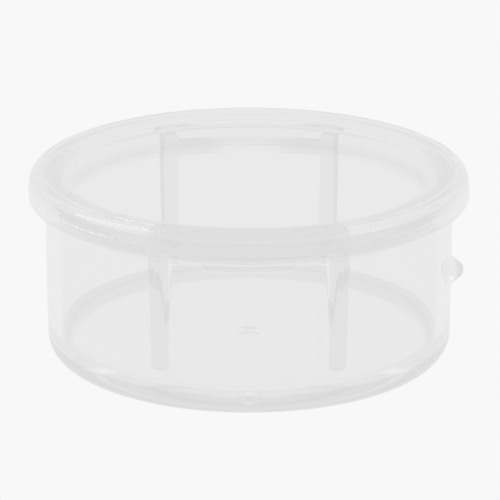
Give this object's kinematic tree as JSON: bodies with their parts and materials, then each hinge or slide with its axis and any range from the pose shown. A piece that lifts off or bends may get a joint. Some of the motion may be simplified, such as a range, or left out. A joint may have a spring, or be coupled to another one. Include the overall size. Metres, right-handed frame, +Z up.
{
  "type": "wet palette box",
  "caption": "Round clear plastic box for keeping paint wet, with upright ribs on its wall, a push-in lift-off lid with a U-shaped strap set in its front and a soft sealing ring under it.",
  "frame": {"origin": "centre of the base, on the plane the box stands on", "axes": "+Z up along the box's axis, the lid's strap faces -Y and the wall's lug is at +X"},
  "size_m": [0.1, 0.1008, 0.0437],
  "materials": {
    "clear_moulding": "clear, slightly milky, polished",
    "silicone": "translucent, satin",
    "milky_moulding": "milky, polished"
  },
  "bodies": {
    "tub": {"tub": "clear_moulding"},
    "lid": {"lid": "clear_moulding", "seal_ring": "silicone", "front_strap": "milky_moulding"}
  },
  "joints": [
    {"name": "lid_lift", "type": "slide", "parent": "tub", "child": "lid", "axis": [0, 0, 1], "range_m": [0, 0.05]}
  ]
}
